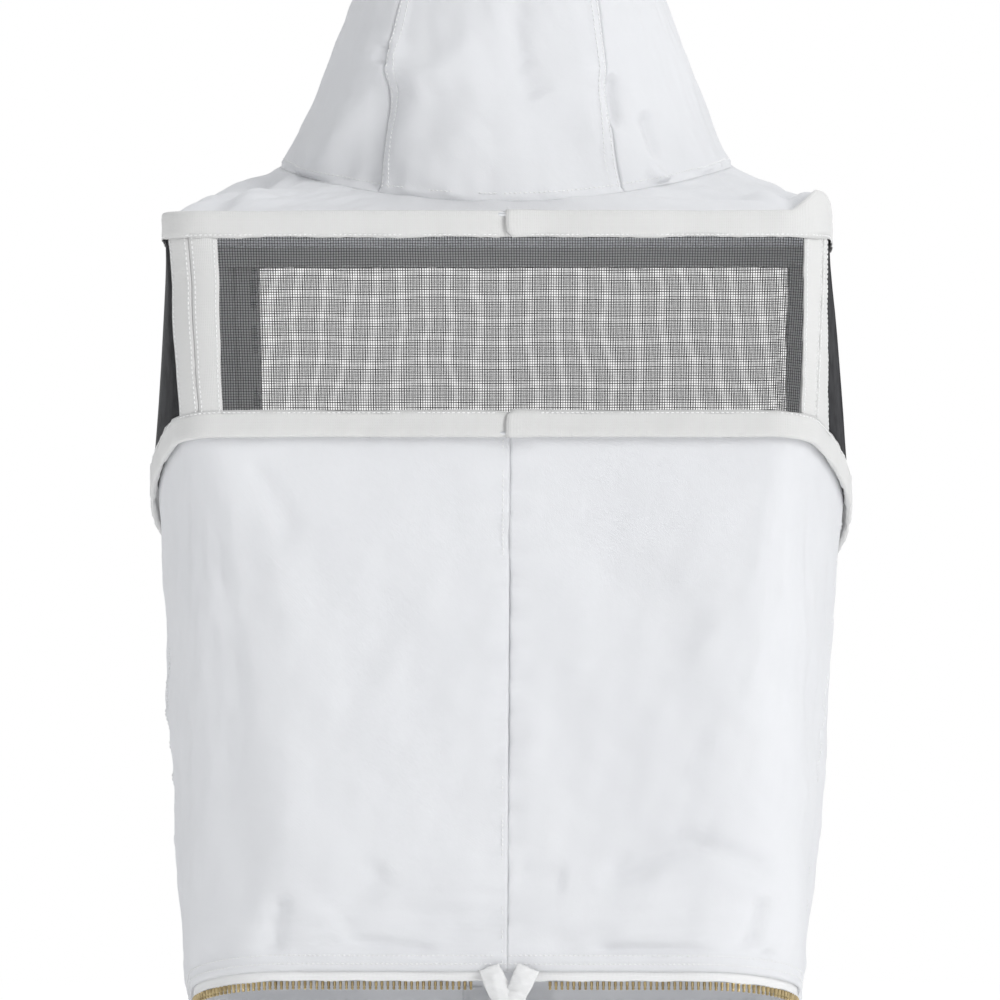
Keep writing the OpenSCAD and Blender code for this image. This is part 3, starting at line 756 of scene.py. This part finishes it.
CROWN_CREASES = (
    (-62, 147, -63, 105, 14, 3.5, 0.45), (-62, 150, -61, 90, 38, 5.5, 0), (-63, 108, -117, 36, 16, 7.0, 0.35),
    (-67, 97, -80, 21, 15, -6.0, 0.5), (-65, 113, -69, 101, 4, -3.5, 0), (10, 142, 12, 99, 9, -3.6, 0),
    (12, 102, 22, 80, 9, -3.0, 0),
    (58, 147, 54, 92, 15, 5.0, 0), (66, 93, 70, 62, 3.6, -5.2, 0), (76, 112, 92, 36, 8, 3.4, 0),
    (86, 70, 94, 45, 4, -5.2, 0), (89, 35, 100, 30, 4, 4.6, 0), (95, 27, 101, 25, 2.5, -4.2, 0),
    (-4, 92, 65, 36, 15, -5.0, 0), (-55, 84, -20, 112, 9, 2.4, 0), (-20, 62, -45, 25, 14, 3.0, 0))


def crown_folds(phi, points):
    """How far the crown's cloth stands out from its even shape."""
    x, height = points[..., 0] - CROWN_OFF, points[..., 2] - UPPER_Z
    a, b = np.sin(phi) * 0.14, np.cos(phi) * 0.14
    fold = 0.0014 * waves(61, a, b, height, size=0.15, octaves=2)
    fold = fold + 0.0006 * waves(62, a, b, height * 0.5, size=0.04)
    back = smooth((np.cos(phi) + 0.2) / 0.5)
    up = points[..., 2] - seam_z(phi)
    gather = 0.0005 * np.exp(-up / 0.014) * waves(63, phi * 0.14, size=0.03, octaves=2)
    flare = 0.0038 * np.exp(-up / 0.013) * np.sin(phi) ** 4
    return fold + gather + flare + back * creases(x, height, CROWN_CREASES)


def seam_step(distance):
    """Profile across a felled seam: a groove, then a raised double layer 8 mm wide."""
    groove = -0.0009 * np.exp(-(distance / 0.0011) ** 2)
    raised = 0.0007 * smooth(distance / 0.0015) * smooth((0.0085 - distance) / 0.0015)
    return groove + raised


# The crown's seams, each with the way round to the side on which it is felled
CROWN_SEAMS = ((-BACK_SEAM, 1), (BACK_SEAM, -1), (FRONT_SEAM, -1), (2 * pi - FRONT_SEAM, 1))
# Rows of stitches beside a seam: how far they are from it
SEAM_ROWS = (0.0022, 0.0068)
# In radians: how much the back seams come together at the base, and how far the left one bows
SEAM_LEAN, SEAM_BOW = 0.035, 0.050


def base_seam(phi):
    """The line where the crown and the brim are sewn together; it flares out at the sides."""
    return on_oval(CROWN_W + 0.0030, CROWN_D - 0.0005, phi, seam_z(phi) + 0.0008)


def crown_point(phi, h):
    """Crown cloth with its folds and the steps at its seams, which come together towards its base."""
    sewn_phi = phi
    near_back = smooth(np.cos(phi) + 0.5)
    bow = SEAM_BOW * np.sin(pi * h ** 0.7) * smooth(-2 * np.sin(phi))
    phi = phi - (SEAM_LEAN * np.sin(phi) / math.sin(BACK_SEAM) * (1 - 2 * h) + bow) * near_back
    points = mix(base_seam(phi), on_crown(phi, h), (smooth(h / 0.035 + 0.5) * 2 - 1)[..., None])
    centre = stack(CROWN_OFF, -CROWN_BACK, points[..., 2])
    out = points - centre
    reach = np.linalg.norm(out, axis=-1, keepdims=True)
    out = out / reach
    lift = crown_folds(phi, points)
    for seam, side in CROWN_SEAMS:
        turn = np.mod(sewn_phi - seam + pi, 2 * pi) - pi
        lift = lift + seam_step(side * turn * reach[..., 0])
    end = smooth(h / 0.02) * smooth((1 - h) / 0.03)
    return points + out * (lift * end)[..., None]


def out_of_crown(line, height=None):
    """A line moved just out of the cloth, with normals away from the crown's middle."""
    normal = unit(line - stack(CROWN_OFF, -CROWN_BACK, line[:, 2] if height is None else height))
    return line + normal * SEWN_OUT, normal


def crown_row(phi, h):
    """A line on the crown's outside with its normals."""
    return out_of_crown(crown_point(phi, h))


def crown_seam_rows():
    """Two rows of stitches beside each seam that runs up the crown, and one above the base seam."""
    h = np.linspace(0.01, 0.985, 90)
    rows = []
    for seam, side in CROWN_SEAMS:
        rows += [crown_row(seam + side * away / 0.12 + 0 * h, h) for away in SEAM_ROWS]
    turn = np.linspace(0, 2 * pi, 500)
    return rows + [crown_row(turn, 0.0045 / (RIM_Z - seam_z(turn)))]


def build_crown():
    """The four side panels, cut from seam to seam, with their stitches and the cap."""
    panels = (("crown_back", -BACK_SEAM, BACK_SEAM, 90), ("crown_right", BACK_SEAM, FRONT_SEAM, 90),
              ("crown_front", FRONT_SEAM, 2 * pi - FRONT_SEAM, 80),
              ("crown_left", 2 * pi - FRONT_SEAM, 2 * pi - BACK_SEAM, 90))
    heights = np.concatenate([np.linspace(0, 0.05, 12)[:-1], np.linspace(0.05, 1.0, 76)])
    for name, start, end, cols in panels:
        phi, h = np.meshgrid(np.linspace(start, end, cols + 1), heights)
        panel = sheet(name, crown_point(phi, h), CLOTH_T, COTTON)
        dress(panel, follow_crown, name + "_panel")
    dress(stitching("crown_stitches", crown_seam_rows()), follow_crown)
    build_cap()


def cap_point(phi, e):
    """Point on the domed top: e is 0 at its rim and a quarter turn at its middle."""
    wide = np.cos(e) ** 0.8
    z = RIM_Z + 0.0015 + (CROWN_TOP_Z - RIM_Z - 0.0015) * np.sin(e)
    points = on_oval((CROWN_W - TAPER_W) * wide, (CROWN_D - TAPER_D) * wide, phi, z)
    sag = 0.0016 * waves(71, points[..., 0], points[..., 1], size=0.07) * np.sin(2 * e)
    return points + stack(0, 0, sag)


def build_cap():
    """The oval top panel, joined to the sides by a rolled seam."""
    phi, e = np.meshgrid(np.linspace(0, 2 * pi, 161)[:-1], np.linspace(0, pi / 2 - 0.004, 40))
    cap = sheet("crown_cap_cloth", cap_point(phi, e), CLOTH_T, COTTON, closed=True)
    dress(cap, "crown_cap", "crown_top")
    turn = np.linspace(0, 2 * pi, 400)
    rows = [out_of_crown(cap_point(turn, away + 0 * turn), RIM_Z - 0.03) for away in (0.05, 0.16)]
    dress(stitching("cap_stitches", rows), "crown_cap")


BRIM_INSET = 0.0018
BRIM_UP = 0.0056


def brim_point(place, reach):
    """Brim cloth from the upper hoop, reach 0, in to the crown's base seam, reach 1."""
    rim = on_upper(place, BRIM_INSET, BRIM_UP)
    phi = np.arctan2(rim[..., 0] - CROWN_OFF, -rim[..., 1] - CROWN_BACK)
    base = base_seam(phi)
    point = mix(rim, base, np.asarray(reach)[..., None])
    span = np.linalg.norm((base - rim)[..., :2], axis=-1)
    arch = np.sin(pi * reach)
    sag = ((0.12 - 0.13 * reach ** 2) * np.abs(np.sin(phi)) ** 4 - 0.012) * span * arch
    a, b, c = np.sin(phi), np.cos(phi), reach * span
    loose = arch * span * (0.014 * waves(81, a * 0.2, b * 0.2, c, size=0.10)
                           + 0.012 * waves(82, a * 0.3, b * 0.3, c, size=0.04))
    gathers = 0.0006 * smooth((reach - 0.4) / 0.6) * waves(83, phi * 0.14, size=0.05, octaves=2)
    folds = creases(point[..., 0], point[..., 1], BRIM_CREASES) * smooth((1 - reach) / 0.15)
    lift = (sag + loose + folds + gathers * smooth((1 - reach) / 0.05)) * smooth(reach / 0.05)
    ear = corner_ear(place) * np.exp(-(reach / 0.34) ** 2)
    return point + stack(0, 0, lift + ear)


BRIM_CREASES = ((-172, -196, -134, -50, 12, -7.0, 0), (181, -197, 172, -150, 7, -6.5, 0),
                (163, -190, 140, -80, 12, 3.0, 0))
EAR_H = 0.0126
EAR_FROM, EAR_TOP, EAR_TO = 0.418, 0.520, 0.92


def corner_ear(place):
    """How far the tape and the brim stand up where they are pinched at the back right corner."""
    off = np.mod(place + 2, 4) - 2
    rise = np.clip((off - EAR_FROM) / (EAR_TOP - EAR_FROM), 0, 1)
    return EAR_H * rise * smooth((EAR_TO - off) / (EAR_TO - EAR_TOP))


def build_brim():
    """The cloth from the upper hoop in to the crown."""
    places = UPPER.place(np.linspace(0, 4 * UPPER.quarter_len, 521)[:-1])
    place, reach = np.meshgrid(places, np.linspace(0, 1, 37))
    brim = sheet("brim_cloth", brim_point(place, reach), CLOTH_T, COTTON, closed=True)
    dress(brim, "upper_frame", "brim")


def build_sweatband():
    """Strip inside the base seam, drawn into small gathers by its elastic."""
    phi, h = np.meshgrid(np.linspace(0, 2 * pi, 721)[:-1], np.linspace(0, 1, 21))
    gather = 0.0022 * np.sin(90 * phi + 2 * waves(91, phi, size=1.0)) * (0.25 + 0.75 * h)
    roll = 0.0020 * np.exp(-((h - 0.93) / 0.08) ** 2)
    points = on_oval(mix(CROWN_W - 0.007, 0.095, h) + gather + roll,
                     mix(CROWN_D - 0.007, 0.112, h) + gather + roll, phi, seam_z(phi) + 0.002 + 0.024 * h)
    sweatband = sheet("sweatband_gathered", points, 0.0016, TERRY, closed=True)
    dress(sweatband, "upper_frame", "sweatband")


# ---------------------------------------------------------------- cape

CAPE_LOW = 0.008
CAPE_OUT = 0.0024
CAPE_TOP = -0.003
CAPE_IN = 0.0038

CAPE_CREASES = (
    (-129, 142, -136, 106, 6, -5.5, 0), (-68, 158, -96, 125, 12, -4.5, 0), (14, 157, 41, 151, 8, -3.2, 0),
    (67, 153, 118, 176, 8, -5.4, 0), (118, 176, 165, 158, 8, -5.0, 0), (63, 110, 128, 110, 4, -4.4, 0),
    (162, 139, 153, 111, 4.5, -5.5, 0), (-88, 116, -40, 110, 4, -3.6, 0), (166, 108, 160, 103, 4, -3.2, 0),
    (-70, 280, 0, 250, 30, 3.0, 0), (60, 340, 120, 300, 30, -2.6, 0), (-145, 405, -120, 360, 8, -2.5, 0))


# The fold at the left of the cape's back: its line, how steeply it turns inwards and how round it is
FOLD_Z, FOLD_X = (0.13, 0.311, 0.413), (-0.1263, -0.1263, -0.1473)
FOLD_SLOPE, FOLD_R = 0.30, 0.0018


def side_fold(x, z):
    """The cape's back is folded along an upright line on the wearer's left and turns away from it."""
    off = np.interp(z, FOLD_Z, FOLD_X) - x
    bent = (np.sqrt(off ** 2 + FOLD_R ** 2) + off) / 2
    strength = smooth((z - 0.10) / 0.08) * smooth((0.41 - z) / 0.09)
    return -FOLD_SLOPE * bent * smooth((0.062 - off) / 0.040) * strength


def cape_folds(place, v, x, z):
    """How far the cape's cloth stands out from the even shape between the hem and the hoop."""
    hang = np.sin(pi * np.clip(v, 0, 1)) ** 0.6
    near_hem = np.exp(-((v - 0.06) / 0.10) ** 2)
    around = place * 0.32
    broad = 0.0026 * waves(101, around, z * 0.35, size=0.26, octaves=2)
    small = 0.0008 * waves(102, around, z * 0.7, size=0.06, octaves=3)
    off_back = np.abs(np.mod(place + 2, 4) - 2)
    flat = 1 - 0.8 * np.exp(-((off_back - 0.75) / 0.3) ** 2)
    crumple = 0.0015 * near_hem * flat * waves(103, around * 0.8, z * 1.6, size=0.075, octaves=3)
    back = smooth((1.0 - off_back) / 0.2)
    deep = back * (creases(x, z, CAPE_CREASES) + side_fold(x, z))
    return (broad + small) * hang + crumple + deep


# The back seam is sewn off the middle, as the veil is
BACK_MIDDLE = float(LOWER.place(0.0095))
CAPE_SEAMS = (BACK_MIDDLE, 1.0, 3.0)
# Rows of stitches: their shares of the cape's height, and how far round they are from a seam
HEM_ROWS = (0.014, 0.030)
BESIDE_SEAM = 0.0035 / LOWER.quarter_len


def cape_point(place, v):
    """Cape cloth from the hem, v 0, up to the lower hoop, v 1."""
    low = on_hem(place, -CAPE_OUT, CAPE_LOW)
    high = on_lower(place, CAPE_IN, CAPE_TOP)
    points = mix(low, high, np.asarray(v)[..., None])
    lift = cape_folds(place, v, points[..., 0], points[..., 2])
    lift = lift * smooth(v / 0.05) * smooth((1 - v) / 0.06)
    for seam in CAPE_SEAMS:
        away = (np.mod(place - seam + 2, 4) - 2) * LOWER.quarter_len
        pull = (1 + 0.4 * waves(105, points[..., 2], size=0.02, octaves=2)) * smooth((v - 0.06) / 0.09)
        lift = lift - (0.0005 * np.exp(-(away / 0.0015) ** 2) + 0.0009 * np.exp(-(away / 0.010) ** 2)) * pull
    hem_fold = 0.0002 * smooth((0.036 - v) / 0.006) - 0.0013 * smooth((0.008 - v) / 0.008)
    return points + outward(LOWER, place) * (lift + hem_fold)[..., None]


def cape_row(place, v, beside=0.0):
    """A line on the cape's outside, beside a place, with the normals of the place itself."""
    line = cape_point(place - beside, v)
    out = np.broadcast_to(outward(LOWER, place), line.shape)
    return line + out * SEWN_OUT, out


def build_cape():
    """Two back panels and the front, with rows of stitches round the hem and up the seams."""
    panels = (("cape_back_right", BACK_MIDDLE, 1, 200), ("cape_front", 1, 3, 300),
              ("cape_back_left", 3, 4 + BACK_MIDDLE, 200))
    heights = np.concatenate([np.linspace(0, 0.05, 12)[:-1], np.linspace(0.05, 1, 130)])
    for name, start, end, cols in panels:
        lengths = np.linspace(LOWER.length(start), LOWER.length(end), cols + 1)
        place, v = np.meshgrid(LOWER.place(lengths), heights)
        if name == "cape_front":
            place = np.clip(place, start, end)
        panel = sheet(name + "_cloth", cape_point(place, v), CLOTH_T, COTTON)
        dress(panel, follow_cape, name)
    around = LOWER.place(np.linspace(0, 4 * LOWER.quarter_len, 900))
    rows = [cape_row(around, height + 0 * around) for height in HEM_ROWS]
    v = np.linspace(0.01, 0.985, 160)
    rows += [cape_row(seam + 0 * v, v, BESIDE_SEAM) for seam in CAPE_SEAMS]
    dress(stitching("cape_stitches", rows), follow_cape)


# ---------------------------------------------------------------- zip

# Lengths from the middle of the back to the tape and teeth, and from the middle of the front
TAPE_FROM, TEETH_FROM = 0.010, 0.022
TEETH_TO, BOX_END = 0.020, 0.0183
TOOTH_PITCH = 0.0036
TOOTH_SIZE = np.array([0.00185, 0.0027, 0.0048])


def zip_tape_grid(side):
    """Points of the half tape from the back to the front, seen from outside on the right."""
    end = 2 * HEM.quarter_len - BOX_END
    lengths = np.linspace(TAPE_FROM + side * SEWN_OFF, end, 330)
    place, up = np.meshgrid(HEM.place(lengths), np.array([0.0024, 0.0034, 0.0044, 0.0065, 0.009, 0.0115,
                                                          0.014]))
    length = np.broadcast_to(lengths, place.shape)
    out = 0.0004 * waves(111, length, size=0.07) + 0.0009 * (up < 0.0040)
    up = up + 0.0003 * waves(112, length, size=0.05)
    if side < 0:
        return on_hem(4 - place, -out * 0.5, up)[:, ::-1]
    return on_hem(place, -out * 0.5, up)


def tooth_mesh():
    """One zip tooth: legs that grip the tape's cord, a neck and a rounded head."""
    half_x = [0.50, 0.50, 0.50, 0.36, 0.46, 0.34]
    half_y = [0.50, 0.56, 0.50, 0.40, 0.46, 0.30]
    z = [0.54, 0.40, 0.02, -0.16, -0.36, -0.52]
    verts = []
    for hx, hy, height in zip(half_x, half_y, z):
        for k in range(8):
            a = pi / 4 * k + pi / 8
            x, y = math.cos(a), math.sin(a)
            scale = 1 / max(abs(x), abs(y)) ** 0.7
            verts.append((hx * x * scale, hy * y * scale, height))
    faces = [list(range(8))]
    for ring in range(len(z) - 1):
        for k in range(8):
            a, b = ring * 8 + k, ring * 8 + (k + 1) % 8
            faces.append([b, a, a + 8, b + 8])
    faces.append(list(range(len(verts) - 1, len(verts) - 9, -1)))
    return np.array(verts) * TOOTH_SIZE, faces


def build_zip():
    """Each half's tape, teeth and folded tape end, from the middle of the back to the front."""
    tooth, tooth_faces = tooth_mesh()
    last = 2 * HEM.quarter_len - TEETH_TO
    for side, word in ((1, "right"), (-1, "left")):
        first = TEETH_FROM + side * SEWN_OFF
        lengths = last - TOOTH_PITCH * np.arange(int((last - first) / TOOTH_PITCH) + 1)
        tape = sheet(f"zip_tape_{word}_cloth", zip_tape_grid(side), 0.0008, ZIP_TAPE)
        dress(tape, "collar", "zip_tape_" + word)
        places = np.mod(side * HEM.place(lengths), 4)
        centre = on_hem(places, 0.0, -0.0002)
        way = on_hem(np.mod(side * HEM.place(lengths + side * 1e-4), 4)) - on_hem(places)
        way = unit(way * [1, 1, 0])
        out = np.cross(way, [0, 0, 1.0])
        tilt = 1 + 0.04 * RNG.normal(size=len(places))
        verts = (centre[:, None] + tooth[:, 0:1] * way[:, None] * tilt[:, None, None]
                 + tooth[:, 1:2] * out[:, None] + tooth[:, 2:3] * np.array([0, 0, 1.0])).reshape(-1, 3)
        faces = [[i * len(tooth) + f for f in face] for i in range(len(places)) for face in tooth_faces]
        teeth = new_object(f"zip_teeth_{word}_brass", verts, faces, BRASS)
        teeth.data.polygons.foreach_set("use_smooth", [False] * len(teeth.data.polygons))
        dress(teeth, "collar", "zip_teeth_" + word)
        build_end_tab(side, word)


TAB_W, TAB_LEN, TAB_LEAN = 0.012, 0.034, math.radians(24)


def build_end_tab(side, word):
    """The end of the zip tape, folded on itself beside the middle of the back."""
    low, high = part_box("zip_end_tab_" + word)
    top = high.z - 0.002
    across, down = np.meshgrid(np.linspace(-0.5, 0.5, 13), np.linspace(0, 1, 31))
    narrow = 1 - 0.25 * smooth((down - 0.6) / 0.4) + 0.05 * np.sin(7 * down + side)
    curl = 0.0010 * waves(120 + side, across * 0.01, down * 0.03, size=0.015)
    curl = 0.0013 * np.cos(pi * across * 1.1) + curl
    x = TAB_W - down * TAB_LEN * math.sin(TAB_LEAN) + across * TAB_W * narrow
    z = top - down * TAB_LEN * math.cos(TAB_LEAN) - across * TAB_W * math.sin(TAB_LEAN) * narrow - 0.003
    z = np.minimum(z, top)
    y = (low.y + high.y) / 2 - curl
    points = stack(x, y, z)[::-1]
    if side < 0:
        points = (points * np.array([-1, 1, 1]))[:, ::-1]
    points = points + np.array([SEWN_OFF, 0, 0])
    tab = sheet(f"zip_end_tab_{word}_cloth", points, 0.0015, ZIP_TAPE)
    dress(tab, "collar", "zip_end_tab_" + word)


# ---------------------------------------------------------------- throat flap

FRONT_LOW = on_hem(2.0, -CAPE_OUT, CAPE_LOW)
FRONT_HIGH = on_lower(2.0, CAPE_IN, CAPE_TOP)
FRONT_LEAN = (FRONT_HIGH[1] - FRONT_LOW[1]) / (FRONT_HIGH[2] - FRONT_LOW[2])
# From the middle of the flap's thickness to its stitches
FLAP_OUT = 0.0011


def build_flap():
    """The flap at the throat with rounded lower corners, and the hook tape inside it."""
    low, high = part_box("throat_flap")
    half = (high.x - low.x) / 2
    tall = high.z - low.z
    y_top = high.y - FLAP_OUT
    corner = 0.010
    u, v = np.meshgrid(np.linspace(-1, 1, 41), np.linspace(0, 1, 41))
    up = v * tall
    tuck = np.where(up < corner, corner - np.sqrt(np.maximum(corner ** 2 - (corner - up) ** 2, 0)), 0)
    x = u * (half - tuck)
    bow = 0.0008 * np.cos(pi * u / 2) * (1 - v) + 0.0005 * waves(131, x, up, size=0.04)
    edge = np.maximum(np.abs(u) ** 12, (1 - v) ** 16)
    points = stack(-x, y_top - (tall - up) * FRONT_LEAN + bow - 0.0005 * edge, low.z + up)
    flap = sheet("throat_flap_cloth", points, 0.0018, COTTON)
    dress(flap, "flap", "throat_flap")
    normal = grid_normals(points)
    rows = []
    for inset_cells in (2, 5):
        path = np.concatenate([points[::-1, inset_cells], points[inset_cells, inset_cells:-inset_cells],
                               points[:, -1 - inset_cells]])
        rows.append((path + np.array([0, FLAP_OUT, 0]), np.broadcast_to([0, 1.0, 0], path.shape)))
    rows.append((points[38] + normal[38] * FLAP_OUT, normal[38]))
    dress(stitching("flap_stitches", rows), "flap")
    build_hooks()


def build_hooks():
    """Hook tape: a backing with rows of small bent hooks that face the suit."""
    low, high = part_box("hook_patch")
    t = np.linspace(0, 1, 5)
    lines = []
    for z in np.linspace(low.z + 0.001, high.z - 0.001, 13):
        share = (z - low.z) / (high.z - low.z)
        base = mix(low.y, high.y, share) + (0.0006 if share < 0.5 else -0.0004)
        for x in np.linspace(low.x + 0.001, high.x - 0.001, 25):
            lines.append(stack(x + 0.0005 * t ** 2, base - 0.0009 * np.sin(2.4 * t), z + 0.0002 * t))
    dress(tubes("hook_tape_hooks", lines, 0.00009, THREAD, sides=3), "flap")
    u, v = np.meshgrid(np.linspace(high.x, low.x, 9), np.linspace(0, 1, 7))
    mid = mix(low.y, high.y, 0.5)
    points = stack(u, mid + (v - 0.5) * (high.z - low.z) * FRONT_LEAN, mix(low.z, high.z, v))
    dress(sheet("hook_tape_backing", points, 0.0008, HOOKS), "flap", "hook_patch")


# ---------------------------------------------------------------- metal parts kept from the CAD


def finish_metal():
    finishes = {"wire": STEEL, "ferrule": ALUMINIUM, "slider": BRASS, "pull": BRASS, "zip_box": BRASS}
    for name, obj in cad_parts.items():
        for word, material in finishes.items():
            if word in name:
                obj.data.materials.clear()
                obj.data.materials.append(material)


# ---------------------------------------------------------------- studio


def area_light(name, place, size, power, target):
    data = bpy.data.lights.new(name, "AREA")
    data.shape = "SQUARE"
    data.size = size
    data.energy = power
    light = in_scene(name, data)
    light.location = place
    light.rotation_euler = (Vector(target) - Vector(place)).to_track_quat("-Z", "Y").to_euler()


def build_studio():
    """White floor and world, and three soft lights."""
    world = bpy.data.worlds.new("studio")
    bpy.context.scene.world = world
    n = Nodes(world, "World")
    seen = n.add("ShaderNodeBackground", Color=(1, 1, 1, 1), Strength=1.0).outputs[0]
    lit = n.add("ShaderNodeBackground", Color=(0.97, 0.985, 1.0, 1), Strength=0.62).outputs[0]
    n.done(n.mixed(n.camera_ray(), lit, seen))

    n = Nodes(bpy.data.materials.new("studio_floor"))
    patches = n.add("ShaderNodeTexNoise", Scale=3.0, Detail=2.0).outputs["Fac"]
    colour = n.ramp(patches, 0.3, 0.7, (0.93, 0.93, 0.93), (0.95, 0.95, 0.95))
    paper = n.shader(Base_Color=colour, Roughness=0.8, Emission_Color=(1, 1, 1, 1), Emission_Strength=0.30)
    glow = n.add("ShaderNodeEmission", Color=(1, 1, 1, 1), Strength=1.0).outputs[0]
    reach = n.add("ShaderNodeVectorMath", operation="LENGTH", Vector=n.place).outputs["Value"]
    away = n.add("ShaderNodeMapRange", interpolation_type="SMOOTHSTEP", Value=reach, From_Min=0.45,
                 From_Max=1.15).outputs["Result"]
    n.done(n.mixed(n.math("MULTIPLY", away, n.camera_ray()), paper, glow))
    half, low = 14.0, -0.001
    mesh = bpy.data.meshes.new("floor")
    mesh.from_pydata([(-half, -half, low), (half, -half, low), (half, half, low), (-half, half, low)], [],
                     [(0, 1, 2, 3)])
    mesh.materials.append(n.owner)
    in_scene("floor", mesh)

    target = (0, 0, 0.36)
    area_light("key", (2.3, -2.3, 1.9), 1.4, 55, target)
    area_light("fill", (-2.6, -1.6, 1.2), 2.0, 7, target)
    area_light("top", (0.5, 0.6, 2.8), 1.6, 18, target)


def build_camera():
    """Long lens behind the wearer, level with the cape's top, a little to the wearer's right."""
    distance = 3.6
    yaw = math.radians(1.38)
    near = -HOOP_DEPTH - 0.002
    field = 0.600
    data = bpy.data.cameras.new("camera")
    data.sensor_width = 36
    data.lens = 36 * distance / field
    data.shift_x = -0.002
    data.shift_y = 0.042
    data.clip_end = 60
    camera = in_scene("camera", data)
    reach = distance - near
    camera.location = (reach * math.sin(yaw), -reach * math.cos(yaw), LOWER_Z - 0.021)
    camera.rotation_euler = (pi / 2, 0, yaw)
    bpy.context.scene.camera = camera


build_hoops()
build_veil()
build_crown()
build_brim()
build_sweatband()
build_cape()
build_zip()
build_flap()
finish_metal()
build_studio()
build_camera()
bpy.context.scene.view_settings.view_transform = "Standard"
